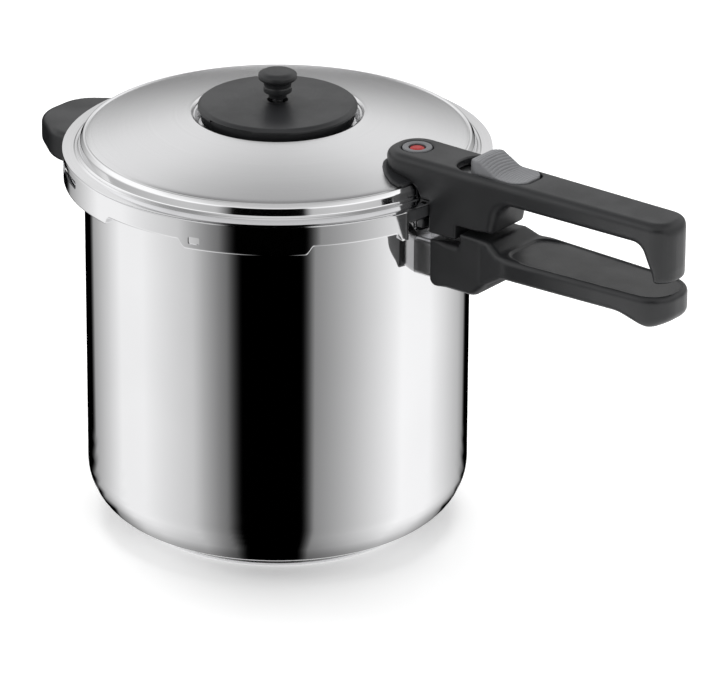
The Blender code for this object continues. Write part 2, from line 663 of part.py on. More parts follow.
def valve(stem_parent, lid):
    """The spring-loaded valve in the middle of the lid, under its cover disc."""
    collar = [(7.4, 249.4), (9.0, 249.4), (9.0, 245.4), (14.0, 245.4), (14.0, 243.3), (9.0, 243.3)]
    housing = collar + [(9.0, 229.0), (2.8, 229.0), (2.8, 231.4), (7.4, 233.2)]
    seal = [(9.4, 241.5), (13.4, 241.5), (13.4, 239.9), (9.4, 239.9)]
    cap = [(3.5, 252.2), (9.6, 252.2), (10.4, 251.4), (10.4, 246.4), (9.3, 246.4), (9.3, 249.8), (3.5, 249.8)]
    part(turned("valve_housing", housing, steps=SMALL_STEPS), "plain_steel", lid)
    part(turned("valve_seal", seal, steps=SMALL_STEPS), "silicone", lid)
    part(nut("valve_nut", 14.5, 9.4, 234.6, 239.6), "plain_steel", lid)
    part(turned("valve_cap", cap, steps=SMALL_STEPS), "plain_steel", lid)
    top = [(6.0, 258.7), (9.0, 258.2), (20.0, 257.6), (34.0, 257.3), (43.0, 257.0)]
    edge = [(45.4, 256.2), (46.2, 254.9), (45.9, 254.0), (44.4, 253.7), (43.6, 254.6)]
    hub = [(34.0, 255.0), (14.0, 255.2), (14.0, 247.0), (10.8, 247.0), (10.8, 253.4), (6.0, 253.4)]
    disc = part(turned("valve_cover", top + edge + hub, steps=MEDIUM_STEPS), "black_plastic", lid)
    cut(disc, tool(sector("cut_cover_notch", 42.6, 50, 250, 255.3, -89, 19, 19, 4)))
    shoulder = [(3.0, 238.6), (6.4, 238.6), (6.4, 236.9), (2.2, 236.9)]
    stem = [(0, 262.6), (3.0, 262.6)] + shoulder + [(2.2, 226.0), (0, 226.0)]
    poppet = [(2.4, 236.6), (5.6, 236.6), (5.6, 235.2), (3.4, 233.5), (2.4, 233.5)]
    head = [(0, 276.5), (6.5, 276.3), (9.6, 275.6), (11.2, 273.9), (11.0, 271.8), (9.2, 269.6), (7.4, 268.4)]
    neck = [(6.8, 267.2), (7.6, 265.8), (7.6, 263.6), (5.4, 262.8), (5.2, 260.0), (3.3, 260.0)]
    knob = head + neck + [(3.3, 262.9), (0, 262.9)]
    part(turned("valve_stem", stem, closed=False, steps=SMALL_STEPS), "plain_steel").parent = stem_parent
    part(turned("poppet_seal", poppet, steps=SMALL_STEPS), "silicone").parent = stem_parent
    part(turned("valve_knob", knob, closed=False, steps=28), "black_plastic").parent = stem_parent
    part(coil("valve_spring", 0, 0, 238.9, 249.5, 5.2, 0.9, 5), "plain_steel", lid)


def slider(parent):
    """The thumb slider in the lid handle, and the steel cam plate under it."""
    flange = [(141.2, 245.9, 0.0), (187.0, 245.9, 0.0), (187.0, 248.9, 0.0), (183.2, 248.9, 0.0)]
    hump = [(183.2, RAMP_LOW_Z, 1.5), (RAMP_X, RAMP_LOW_Z, 8.0), (155.0, 261.7, 4.0), (148.6, 261.0, 4.0)]
    front = [(143.2, 257.4, 5.0), (143.2, 248.9, 0.0), (141.2, 248.9, 0.0)]
    side = rounded(flange + hump + front)
    thumb = part(prism("lock_slider", side, "Y", -13.8, 13.8), "grey_plastic", parent)
    above = rounded([(143.2, -12.1, 10.5), (183.2, -12.1, 8.5), (183.2, 12.1, 8.5), (143.2, 12.1, 10.5)])
    waste = box("cut_slider_sides", (138, -20, 248.9), (200, 20, 270))
    cut(waste, tool(prism("keep_slider_thumb", above, "Z", 240, 280)))
    cut(thumb, tool(waste))
    for i in range(RIB_COUNT):
        x = 158.5 + 3.2 * i
        ramp = RAMP_LOW_Z + RAMP_SLOPE * max(RAMP_X - x, 0.0)
        cut(thumb, tool(box(f"cut_rib_{i}", (x - 0.5, -15, ramp - 0.7), (x + 0.5, 15, ramp + 6.0))))
    cam_foot = CAM_TOP_Z - CAM_SLOPE * 12
    cam = [(129, CAM_TOP_Z), (141, cam_foot), (147, cam_foot)]
    strip = [(147, 243.9), (180, 243.9), (180, 245.6), (140.8, 245.6), (140.8, 248.4), (129, 248.4)]
    part(prism("slider_plate", cam + strip, "Y", -5.8, 5.8), "plain_steel", parent)


def pawl(parent, lid):
    """The lock pawl under the cam, and the spring that lifts it."""
    low, high = PAWL_X - 5.0, PAWL_X + 5.0
    start = CAM_TOP_Z - 0.4

    def cam_z(x):
        return start - CAM_SLOPE * (x - (PAWL_X - 5.0))

    head = [(low, 238.4), (high, 238.4), (high, cam_z(high)), (low, cam_z(low))]
    lock = part(prism("lock_pawl", head, "Y", -5.0, 5.0), "plain_steel", parent)
    join(lock, tool(pin("add_pawl_stem", 2.6, 211.2, 240.0, PAWL_X, steps=20)))
    part(coil("pawl_spring", PAWL_X, 0, 222.3, 238.1, 3.7, 0.8, 6), "plain_steel", lid)


# ---------------------------------------------------------------- assembly


def main():
    lid_axis = axis_empty("lid_axis", 0, 0, 0)
    gasket_axis = axis_empty("gasket_axis", 0, 0, 0)
    valve_axis = axis_empty("valve_axis", 0, 0, 0)
    indicator_axis = axis_empty("indicator_axis", INDICATOR_X, 0, 0)
    slider_axis = axis_empty("slider_axis", 160, 0, 250)
    pawl_axis = axis_empty("pawl_axis", PAWL_X, 0, 230)
    pot_body()
    base()
    pot_handle()
    pot_handle_fittings()
    helper_handle()
    gasket(gasket_axis)
    lid_shell(lid_axis)
    bayonet_ring(lid_axis)
    face = lid_clearance()
    lid_handle(lid_axis)
    lid_handle_fittings(lid_axis, face)
    indicator(indicator_axis, lid_axis)
    valve(valve_axis, lid_axis)
    slider(slider_axis)
    pawl(pawl_axis, lid_axis)


main()
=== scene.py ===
"""Looks for the stovetop pressure cooker: its visible pieces, their finishes, the floor, lights and camera.

Shapes are given in millimetres in the CAD frame: +Z is the pot's axis and +X the long handles' middle line.
A field is a function of (x, y, z) that is below zero inside a shape.
"""

import math

import bmesh
import bpy
import numpy as np
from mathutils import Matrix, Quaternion, Vector


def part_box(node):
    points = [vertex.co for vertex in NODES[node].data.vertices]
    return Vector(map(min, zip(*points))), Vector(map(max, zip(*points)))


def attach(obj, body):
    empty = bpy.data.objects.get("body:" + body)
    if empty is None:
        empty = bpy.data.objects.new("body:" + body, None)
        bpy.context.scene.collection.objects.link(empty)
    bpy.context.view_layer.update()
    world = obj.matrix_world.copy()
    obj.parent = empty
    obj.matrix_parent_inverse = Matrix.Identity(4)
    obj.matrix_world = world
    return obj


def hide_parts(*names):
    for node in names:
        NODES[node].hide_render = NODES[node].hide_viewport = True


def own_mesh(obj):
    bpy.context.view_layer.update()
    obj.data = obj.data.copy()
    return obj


MM = 0.001
VIEW_BEARING = 38.85  # degrees from -Y towards +X at which the camera stands
SHARP_ANGLE = 35.0  # degrees above which an edge stays crisp

WALL_R = 112.0  # the pot's wall
LUGS = [60.0 * i for i in range(6)]  # the bearings of the pot's lugs, in degrees
RING_MIDDLE_R = 123.45  # the middle of the lid's ring, seen from above
HANDLE_END_X = 283.5
NOSE_HALF = 17.6  # half the width of the handles' front
PAWL_X = 134.0
POT_SCREW_X = 146.0
LID_SCREW_X = 154.0
HELPER_SCREW_X = -123.0
SCREW_ROOM_R = 4.8  # the room round the head of a handle's screw
SCREW_HOLE_R = 2.4
FINE_CELL = 0.75  # the spacing of the handles' meshes

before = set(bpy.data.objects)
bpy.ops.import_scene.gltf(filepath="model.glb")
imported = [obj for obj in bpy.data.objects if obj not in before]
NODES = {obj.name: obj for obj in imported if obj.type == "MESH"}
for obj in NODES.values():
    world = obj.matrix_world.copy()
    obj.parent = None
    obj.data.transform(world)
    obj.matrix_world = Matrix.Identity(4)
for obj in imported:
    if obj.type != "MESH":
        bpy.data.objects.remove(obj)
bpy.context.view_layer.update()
INDICATOR_X = sum(corner.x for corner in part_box("indicator_cap")) / 2 / MM


# ---------------------------------------------------------------- outlines


STRAIGHT = 1.565  # half of a corner's angle in radians above which it isn't rounded


def rounded(corners, steps=6, closed=True):
    """The outline through corners of (u, v) or (u, v, radius), each rounded by an arc."""
    corners = [corner if len(corner) == 3 else (*corner, 0.0) for corner in corners]
    points = []
    for i, (u, v, radius) in enumerate(corners):
        here = Vector((u, v))
        at_end = not closed and i in (0, len(corners) - 1)
        if radius <= 0 or at_end:
            points.append((u, v))
            continue
        before = Vector(corners[i - 1][:2]) - here
        after = Vector(corners[(i + 1) % len(corners)][:2]) - here
        half = before.angle(after) / 2
        if half > STRAIGHT:
            points.append((u, v))
            continue
        reach = min(radius / math.tan(half), 0.49 * before.length, 0.49 * after.length)
        before.normalize()
        after.normalize()
        centre = here + (before + after).normalized() * reach / math.cos(half)
        first = here + before * reach - centre
        last = here + after * reach - centre
        sweep = first.angle(last)
        for k in range(steps + 1):
            t = k / steps
            blend = first * math.sin((1 - t) * sweep) + last * math.sin(t * sweep)
            point = centre + blend / math.sin(sweep)
            points.append((point.x, point.y))
    return points


def handle_plan(inset=0.0, start=85.3):
    """The upper handle's outline seen from above: a round nose, a slow taper and a rounded end."""
    nose, end = NOSE_HALF - inset, 14.6 - inset
    left, right = start + inset, HANDLE_END_X - inset
    front, back = 15.5 - inset, 13.5 - inset
    return rounded([(left, -nose, front), (right, -end, back), (right, end, back), (left, nose, front)], 10)


def mirrored(half):
    """A whole outline from the half of it on the -Y side."""
    return half + [(corner[0], -corner[1], *corner[2:]) for corner in reversed(half)]


def dome_height(radius):
    """The lid's height between its well and its border, growing steeper outwards."""
    out = radius - 50.0
    return 251.5 - 0.165 * out - 0.00096 * out * out


# ---------------------------------------------------------------- meshes


def finish_mesh(name, vertices, faces):
    """A smooth-shaded object from points in metres, with its sharp edges kept crisp."""
    mesh = bpy.data.meshes.new(name)
    mesh.from_pydata(vertices, [], faces)
    bm = bmesh.new()
    bm.from_mesh(mesh)
    bmesh.ops.remove_doubles(bm, verts=bm.verts, dist=1e-7)
    bmesh.ops.recalc_face_normals(bm, faces=bm.faces)
    bm.to_mesh(mesh)
    bm.free()
    mesh.shade_smooth()
    mesh.set_sharp_from_angle(angle=math.radians(SHARP_ANGLE))
    obj = bpy.data.objects.new(name, mesh)
    bpy.context.scene.collection.objects.link(obj)
    return obj


def bearings(steps, edges=(), width=2.4):
    """Even bearings in degrees, with finer ones around each edge."""
    even = np.arange(steps) * 360.0 / steps
    fine = [edge + np.linspace(-width, width, 17) for edge in edges]
    return np.unique(np.round(np.concatenate([even, *fine]) % 360.0, 4))


def lathe(name, profile, steps=192, x=0.0, closed=False, edges=()):
    """A profile of (radius, z) turned about Z. One that changes round is a function of the bearing in degrees."""
    turns = bearings(steps, edges)
    runs = [profile(turn) if callable(profile) else profile for turn in turns]
    count = len(runs[0])
    vertices = []
    for turn, run in zip(np.radians(turns), runs):
        vertices += [((x + r * math.cos(turn)) * MM, r * math.sin(turn) * MM, z * MM) for r, z in run]
    faces = []
    last = count if closed else count - 1
    for i in range(len(turns)):
        here, there = i * count, (i + 1) % len(turns) * count
        for k in range(last):
            after = (k + 1) % count
            face = [here + k, here + after, there + after, there + k]
            if runs[0][k][0] < 1e-6:
                face.remove(there + k)
            if runs[0][after][0] < 1e-6:
                face.remove(there + after)
            if len(face) > 2:
                faces.append(face)
    return finish_mesh(name, vertices, faces)


def outline_distance(points, u, v):
    """How far (u, v) lies outside a closed outline, and below zero inside it."""
    nearest = np.full(np.broadcast(u, v).shape, 1e9)
    inside = np.zeros(nearest.shape, bool)
    for (u0, v0), (u1, v1) in zip(points, points[1:] + points[:1]):
        du, dv = u1 - u0, v1 - v0
        length = du * du + dv * dv
        if length < 1e-12:
            continue
        t = np.clip(((u - u0) * du + (v - v0) * dv) / length, 0, 1)
        nearest = np.minimum(nearest, (u - u0 - t * du) ** 2 + (v - v0 - t * dv) ** 2)
        if dv:
            inside ^= ((v0 > v) != (v1 > v)) & (u < u0 + (v - v0) * du / dv)
    return np.where(inside, -1, 1) * np.sqrt(nearest)


def meet(a, b, radius):
    """The shape common to two, with the edge between them rounded."""
    rounding = np.hypot(np.maximum(radius + a, 0), np.maximum(radius + b, 0))
    return np.minimum(-radius, np.maximum(a, b)) + rounding


def unite(a, b, radius):
    return -meet(-a, -b, radius)


def remove(a, b, radius):
    return meet(a, -b, radius)


def slab(u, low, high):
    return np.maximum(low - u, u - high)


def block(x, y, z, low, high):
    across = np.maximum(slab(x, low[0], high[0]), slab(y, low[1], high[1]))
    return np.maximum(across, slab(z, low[2], high[2]))


def rod(x, y, z, radius, low, high, at=0.0):
    return np.maximum(np.hypot(x - at, y) - radius, slab(z, low, high))


def ease(u, low, high):
    """0 below low, 1 above high and a smooth change between them."""
    t = np.clip((u - low) / (high - low), 0, 1)
    return t * t * (3 - 2 * t)


def skin(name, field, low, high, cell):
    """The surface where a field of (x, y, z) in millimetres crosses zero, as an even quad mesh."""
    axes = [np.arange(a, b + cell, cell) for a, b in zip(low, high)]
    grid = np.meshgrid(*axes, indexing="ij", sparse=True)
    values = np.broadcast_to(field(*grid), [len(axis) for axis in axes])
    cells = [n - 1 for n in values.shape]
    corners, points, quads = [], [], []
    for axis in range(3):
        start, end = [slice(None)] * 3, [slice(None)] * 3
        start[axis], end[axis] = slice(0, -1), slice(1, None)
        a, b = values[tuple(start)], values[tuple(end)]
        at = np.argwhere((a < 0) != (b < 0))
        va, vb = a[tuple(at.T)], b[tuple(at.T)]
        place = np.stack([axes[k][at[:, k]] for k in range(3)], 1)
        place[:, axis] += cell * va / (va - vb)
        one, two = (axis + 1) % 3, (axis + 2) % 3
        around = []
        for back in ((1, 1), (0, 1), (0, 0), (1, 0)):
            corner = at.copy()
            corner[:, one] -= back[0]
            corner[:, two] -= back[1]
            around.append(np.ravel_multi_index(corner.T, cells))
        quad = np.stack(around, 1)
        quads.append(np.where((va < 0)[:, None], quad, quad[:, ::-1]))
        corners += around
        points += [place] * 4
    ids, index = np.unique(np.concatenate(corners), return_inverse=True)
    points = np.concatenate(points)
    count = np.bincount(index)
    vertices = np.stack([np.bincount(index, points[:, k]) / count for k in range(3)], 1)
    faces = np.searchsorted(ids, np.concatenate(quads))
    mesh = bpy.data.meshes.new(name)
    mesh.from_pydata((vertices * MM).tolist(), [], faces.tolist())
    mesh.shade_smooth()
    obj = bpy.data.objects.new(name, mesh)
    bpy.context.scene.collection.objects.link(obj)
    return obj


def helix(name, x, low, high, radius, wire, turns):
    """A round wire spring standing along Z, its turns closer together towards the ends."""
    per_turn, around = 36, 12
    total = int(turns * per_turn)
    vertices, faces = [], []
    for i in range(total + 1):
        turn = 2 * math.pi * i / per_turn
        share = i / total
        rise = share + 0.5 * math.sin(2 * math.pi * share) / math.pi * -0.35
        height = low + wire / 2 + (high - low - wire) * rise
        for k in range(around):
            bend = 2 * math.pi * k / around
            reach = radius + wire / 2 * math.cos(bend)
            up = height + wire / 2 * math.sin(bend)
            vertices.append(((x + reach * math.cos(turn)) * MM, reach * math.sin(turn) * MM, up * MM))
    for i in range(total):
        for k in range(around):
            a, b = i * around + k, i * around + (k + 1) % around
            faces.append((a, b, b + around, a + around))
    faces.append(tuple(range(around)))
    faces.append(tuple(total * around + k for k in range(around)))
    return finish_mesh(name, vertices, faces)


# ---------------------------------------------------------------- finishes


def add(tree, kind, inputs=None, **settings):
    """A shader node with its settings and its inputs, each a value or the output that feeds it."""
    node = tree.nodes.new("ShaderNode" + kind)
    for key, value in settings.items():
        setattr(node, key, value)
    for key, value in (inputs or {}).items():
        if isinstance(value, bpy.types.NodeSocket):
            tree.links.new(value, node.inputs[key])
        else:
            node.inputs[key].default_value = value
    return node


def math_node(tree, operation, a, b=0.0):
    return add(tree, "Math", {0: a, 1: b}, operation=operation).outputs[0]


def ramp(tree, factor, stops):
    """A grey ramp through stops of (position, brightness)."""
    node = add(tree, "ValToRGB", {"Fac": factor})
    node.color_ramp.interpolation = "LINEAR"
    elements = node.color_ramp.elements
    while len(elements) > 1:
        elements.remove(elements[-1])
    elements[0].position = stops[0][0]
    elements[0].color = (*[stops[0][1]] * 3, 1)
    for position, grey in stops[1:]:
        elements.new(position).color = (grey, grey, grey, 1)
    return node.outputs["Color"]


def rescale(tree, value, low, high, to_low, to_high):
    inputs = {"Value": value, "From Min": low, "From Max": high, "To Min": to_low, "To Max": to_high}
    return add(tree, "MapRange", inputs).outputs["Result"]


def noise(tree, place, scale, detail=3.0, rough=0.5):
    inputs = {"Vector": place, "Scale": scale, "Detail": detail, "Roughness": rough}
    return add(tree, "TexNoise", inputs).outputs["Fac"]


def new_finish(name):
    made = bpy.data.materials.new(name)
    made.use_nodes = True
    tree = made.node_tree
    return made, tree, tree.nodes["Principled BSDF"], add(tree, "TexCoord").outputs["Object"]


def tint(tree, factor, dark, light):
    """A colour that runs from dark to light with a factor. The mix node's colour sockets are 6, 7 and 2."""
    node = add(tree, "Mix", data_type="RGBA")
    tree.links.new(factor, node.inputs[0])
    node.inputs[6].default_value = (*dark, 1)
    node.inputs[7].default_value = (*light, 1)
    return node.outputs[2]


def bump(tree, shader, height, distance, strength):
    inputs = {"Height": height, "Distance": distance, "Strength": strength}
    tree.links.new(add(tree, "Bump", inputs).outputs["Normal"], shader.inputs["Normal"])


def vary_roughness(tree, shader, base, change):
    tree.links.new(math_node(tree, "ADD", base, change), shader.inputs["Roughness"])


def plastic(name, dark, light, rough, grain=1500.0, depth=0.00003):
    """Moulded plastic: a fine spark-eroded grain, slight cloudiness, and worn spots that shine more."""
    made, tree, shader, place = new_finish(name)
    cloud = noise(tree, place, 45.0, 4.0)
    fine = noise(tree, place, grain, 2.0, 0.6)
    tree.links.new(tint(tree, rescale(tree, cloud, 0.3, 0.7, 0, 1), dark, light), shader.inputs["Base Color"])
    wear = rescale(tree, cloud, 0.35, 0.65, rough + 0.04, rough - 0.04)
    vary_roughness(tree, shader, wear, rescale(tree, fine, 0.3, 0.7, -0.05, 0.05))
    bump(tree, shader, fine, depth, 0.6)
    return made


def brushed(name, dark, light, rough, stretch=(1.0, 1.0, 1.0), grain=900.0):
    """Metal with a grain drawn out along some axes, cloudy tone and changing polish."""
    made, tree, shader, place = new_finish(name)
    drawn = add(tree, "Mapping", {"Vector": place, "Scale": stretch}).outputs["Vector"]
    streaks = noise(tree, drawn, grain, 3.0, 0.6)
    cloud = noise(tree, place, 30.0, 3.0)
    tree.links.new(tint(tree, streaks, dark, light), shader.inputs["Base Color"])
    base = rescale(tree, cloud, 0.3, 0.7, rough - 0.025, rough + 0.025)
    vary_roughness(tree, shader, base, rescale(tree, streaks, 0.3, 0.7, -0.03, 0.03))
    shader.inputs["Metallic"].default_value = 1.0
    bump(tree, shader, streaks, 0.000004, 0.5)
    return made


def spun(name, stops):
    """Steel finished while it turned: faint rings, and a roughness through stops of (radius, roughness)."""
    made, tree, shader, place = new_finish(name)
    split = add(tree, "SeparateXYZ", {"Vector": place})
    flat = add(tree, "CombineXYZ", {"X": split.outputs["X"], "Y": split.outputs["Y"]}).outputs["Vector"]
    radius = add(tree, "VectorMath", {0: flat}, operation="LENGTH").outputs["Value"]
    rings = add(tree, "CombineXYZ", {"X": radius, "Y": split.outputs["Z"]}).outputs["Vector"]
    lines = noise(tree, rings, 2200.0, 3.0, 0.65)
    cloud = noise(tree, place, 14.0, 3.0)
    farthest = stops[-1][0]
    share = math_node(tree, "DIVIDE", radius, farthest * MM)
    polish = ramp(tree, share, [(r / farthest, v) for r, v in stops])
    rough = math_node(tree, "ADD", polish, rescale(tree, cloud, 0.3, 0.7, -0.012, 0.012))
    rough = math_node(tree, "ADD", rough, rescale(tree, lines, 0.3, 0.7, -0.01, 0.01))
    colour = tint(tree, rescale(tree, lines, 0.3, 0.7, 0, 1), (0.83, 0.83, 0.84), (0.88, 0.88, 0.89))
    tree.links.new(colour, shader.inputs["Base Color"])
    tree.links.new(rough, shader.inputs["Roughness"])
    shader.inputs["Metallic"].default_value = 1.0
    bump(tree, shader, lines, 0.0000015, 0.35)
    return made


def mirror(name, rough, stretch):
    """Bright polished steel: barely seen polishing lines and a faint haze that comes and goes."""
    made, tree, shader, place = new_finish(name)
    drawn = add(tree, "Mapping", {"Vector": place, "Scale": stretch}).outputs["Vector"]
    lines = noise(tree, drawn, 1400.0, 3.0, 0.6)
    haze = noise(tree, place, 9.0, 3.0)
    colour = tint(tree, rescale(tree, haze, 0.3, 0.7, 0, 1), (0.89, 0.89, 0.9), (0.94, 0.94, 0.95))
    tree.links.new(colour, shader.inputs["Base Color"])
    polish = rescale(tree, haze, 0.35, 0.65, rough, rough + 0.03)
    vary_roughness(tree, shader, polish, rescale(tree, lines, 0.5, 0.75, 0.0, 0.02))
    shader.inputs["Metallic"].default_value = 1.0
    bump(tree, shader, lines, 0.000001, 0.2)
    return made


def rubber(name, dark, light):
    made, tree, shader, place = new_finish(name)
    cloud = noise(tree, place, 60.0, 4.0)
    bloom = noise(tree, place, 700.0, 3.0)
    tree.links.new(tint(tree, cloud, dark, light), shader.inputs["Base Color"])
    tree.links.new(rescale(tree, bloom, 0.3, 0.7, 0.45, 0.7), shader.inputs["Roughness"])
    bump(tree, shader, bloom, 0.00002, 0.5)
    return made


LID_POLISH = [(0, 0.3), (49, 0.26), (51, 0.24), (109.6, 0.22), (110.4, 0.07), (130, 0.07)]
BASE_POLISH = [(0, 0.34), (82, 0.3), (84, 0.24), (130, 0.24)]

FINISH = {
    "polished_steel": mirror("polished_steel", 0.025, (1.0, 1.0, 0.05)),
    "rim_steel": mirror("rim_steel", 0.05, (0.1, 0.1, 1.0)),
    "lid_steel": spun("lid_steel", LID_POLISH),
    "satin_steel": spun("satin_steel", BASE_POLISH),
    "plain_steel": brushed("plain_steel", (0.52, 0.52, 0.53), (0.66, 0.66, 0.67), 0.32, stretch=(0.15, 1, 1)),
    "aluminium": brushed("aluminium", (0.72, 0.72, 0.73), (0.82, 0.82, 0.83), 0.42, grain=500.0),
    "black_plastic": plastic("black_plastic", (0.012, 0.0125, 0.0135), (0.016, 0.0165, 0.018), 0.38),
    "grey_plastic": plastic("grey_plastic", (0.17, 0.172, 0.18), (0.195, 0.198, 0.207), 0.42),
    "bezel_grey": plastic("bezel_grey", (0.11, 0.113, 0.12), (0.14, 0.143, 0.15), 0.3),
    "signal_red": plastic("signal_red", (0.28, 0.004, 0.003), (0.36, 0.006, 0.005), 0.3, depth=0.00001),
    "silicone": rubber("silicone", (0.035, 0.036, 0.038), (0.05, 0.051, 0.054)),
    "brass": brushed("brass", (0.70, 0.50, 0.22), (0.80, 0.60, 0.30), 0.28),
}


def place_piece(obj, body, finish, *nodes, slot=None):
    """Gives a new piece its finish, puts it on its body and hides the CAD nodes that it stands for."""
    obj.data.materials.clear()
    obj.data.materials.append(FINISH[finish])
    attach(obj, body)
    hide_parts(*nodes)
    return obj


# ---------------------------------------------------------------- pot


def degrees_off(turn, places):
    """How far a bearing is from the nearest of some others, in degrees."""
    return min(abs((turn - place + 180) % 360 - 180) for place in places)


def make_pot():
    edges = [lug + side * 11.5 for lug in LUGS for side in (-1, 1)]

    def profile(turn):
        lug = 1.0 - float(ease(degrees_off(turn, LUGS), 10.9, 12.1))
        reach = 117.5 + 4.4 * lug
        tip = 219.4 - 5.6 * lug
        over = [
            (reach - 0.6, tip - 0.1 * lug), (reach - 0.15, tip + 0.15), (reach, tip + 0.5),
            (reach, 219.7), (reach - 0.4, 220.4), (reach - 1.2, 220.7),
        ]
        inside = rounded(
            [(115.5, 220.7), (113.4, 220.7, 1.5), (110.8, 217.6, 5.0), (110.8, 7.4, 28.8), (0.0, 7.4)],
            10,
            False,
        )
        outside = rounded(
            [
                (0.0, 6.2), (WALL_R, 6.2, 30.0), (WALL_R, 216.5, 5.0),
                (113.8, 219.5, 1.2), (115.6, 219.5),
            ],
            16,
            False,
        )
        under = [
            (reach - 2.2, 219.5), (reach - 1.5, 219.2), (reach - 1.2, 218.8),
            (reach - 1.2, tip + 0.4), (reach - 0.95, tip),
        ]
        return over + inside + outside + under

    obj = lathe("pot_shell", profile, 216, edges=edges)
    place_piece(obj, "pot", "polished_steel", "pot_body")


def make_base():
    cap = rounded(
        [
            (0.0, 0.9), (81.9, 0.9, 0.6), (83.5, 2.5, 0.6), (83.5, 5.9, 0.3), (84.4, 5.9, 0.4),
            (84.4, 2.4, 1.2), (82.0, 0.0, 1.6), (62.0, 0.0, 0.2), (61.5, 0.35, 0.2),
            (60.5, 0.35, 0.2), (60.0, 0.0, 0.2), (32.0, 0.0, 0.2), (31.5, 0.35, 0.2),
            (30.5, 0.35, 0.2), (30.0, 0.0, 0.2), (0.0, 0.0),
        ],
        5,
        False,
    )
    place_piece(lathe("base_shell", cap, 216), "pot", "satin_steel", "base_cap")


def pot_handle_field(x, y, z):
    side = rounded(
        [
            (124.2, 209.0, 1.0), (143.6, 209.0, 1.2), (144.8, 217.0, 1.2), (166.0, 217.0, 5.0),
            (174.5, 212.6, 8.0), (290.0, 212.6, 4.0), (290.0, 199.0, 8.0), (274.5, 193.4, 10.0),
            (255.5, 199.3, 28.0), (179.0, 199.3, 12.0), (164.0, 189.5, 12.0), (155.0, 181.0, 10.0),
            (124.2, 181.0, 5.0),
        ],
        8,
    )
    plan = mirrored(
        [(110.0, -NOSE_HALF), (160.0, -NOSE_HALF, 14.0), (180.0, -23.5, 22.0), (284.3, -18.8, 17.5)]
    )
    dish = mirrored([(177.0, -15.6, 8.0), (192.0, -20.3, 20.0), (281.1, -15.6, 14.5)])
    from_side = outline_distance(side, x, z)
    from_plan = outline_distance(rounded(plan, 12), x, y)
    top_of_block = ease(z, 212.8, 216.0) * (1 - ease(x, 150, 168))
    soft = 0.8 + 3.2 * ease(x, 126.0, 136.0) * (1 - 0.75 * top_of_block)
    shape = meet(from_side, from_plan, soft)
    shape = remove(shape, np.maximum(outline_distance(rounded(dish, 12), x, y), 211.3 - z), 0.8)
    for gap in (
        block(x, y, z, (122.2, -9.3, 187.7), (152.3, 9.3, 200.3)),
        block(x, y, z, (126.7, -9.3, 206.4), (141.3, 9.3, 212.0)),
        block(x, y, z, (129.7, -5.0, 202.5), (138.3, 5.0, 208.0)),
        rod(x, y, z, SCREW_ROOM_R, 178.0, 184.2, POT_SCREW_X),
        rod(x, y, z, SCREW_HOLE_R, 180.0, 188.5, POT_SCREW_X),
    ):
        shape = remove(shape, gap, 0.25)
    return shape


def lid_handle_field(x, y, z):
    side = rounded(
        [
            (80.0, 246.6, 2.0), (98.5, 241.7, 12.0), (108.6, 240.3, 4.0), (114.3, 237.4, 2.0),
            (116.6, 232.5, 0.6), (122.9, 232.5, 0.0), (122.9, 212.3, 1.0), (141.4, 212.3, 1.0),
            (141.4, 221.0, 1.0), (166.2, 221.0, 2.0), (170.4, 240.3, 11.0), (265.7, 240.3, 8.0),
            (275.1, 219.2, 2.5), (283.0, 219.2, 3.0), (288.0, 226.0, 4.0), (286.0, 254.0, 9.0),
            (80.0, 254.0, 1.0),
        ],
        8,
    )
    from_side = outline_distance(side, x, z)
    from_plan = outline_distance(handle_plan(), x, y)
    low = 1 - ease(z, 226.0, 243.0)
    soft = 4.8 - 3.9 * low * (1 - ease(x, 150.0, 172.0))
    soft = soft - 3.9 * (1 - ease(z, 243.0, 248.5)) * (1 - ease(x, 118, 126))
    soft = soft - 3.0 * (1 - ease(z, 218.0, 226.0)) * ease(x, 240.0, 250.0)
    shape = meet(from_side, from_plan, np.maximum(soft, 0.7))
    mouth = rounded([(133.4, -12.6, 11.5), (184.6, -12.6, 9), (184.6, 12.6, 9), (133.4, 12.6, 11.5)], 10)
    shape = remove(shape, np.maximum(outline_distance(mouth, x, y), slab(z, 248.0, 260.0)), 0.5)
    for gap in (
        block(x, y, z, (129.0, -14.2, 243.6), (190.0, 14.2, 249.4)),
        block(x, y, z, (120.0, -6.6, 232.0), (150.0, 6.6, 245.0)),
        block(x, y, z, (120.0, -6.6, 232.0), (132.0, 6.6, 248.8)),
        block(x, y, z, (110.0, -9.3, 230.0), (162.3, 9.3, 232.7)),
        rod(x, y, z, 2.9, 205.0, 223.0, PAWL_X),
        rod(x, y, z, 4.6, 222.0, 234.0, PAWL_X),
        rod(x, y, z, SCREW_ROOM_R, 218.0, 224.2, LID_SCREW_X),
        rod(x, y, z, SCREW_HOLE_R, 220.0, 230.5, LID_SCREW_X),
        rod(x, y, z, 8.4, 232.0, 249.0, INDICATOR_X),
        rod(x, y, z, 5.2, 232.0, 260.0, INDICATOR_X),
        rod(x, y, z, 9.2, 250.9, 260.0, INDICATOR_X),
    ):
        shape = remove(shape, gap, 0.25)
    return shape


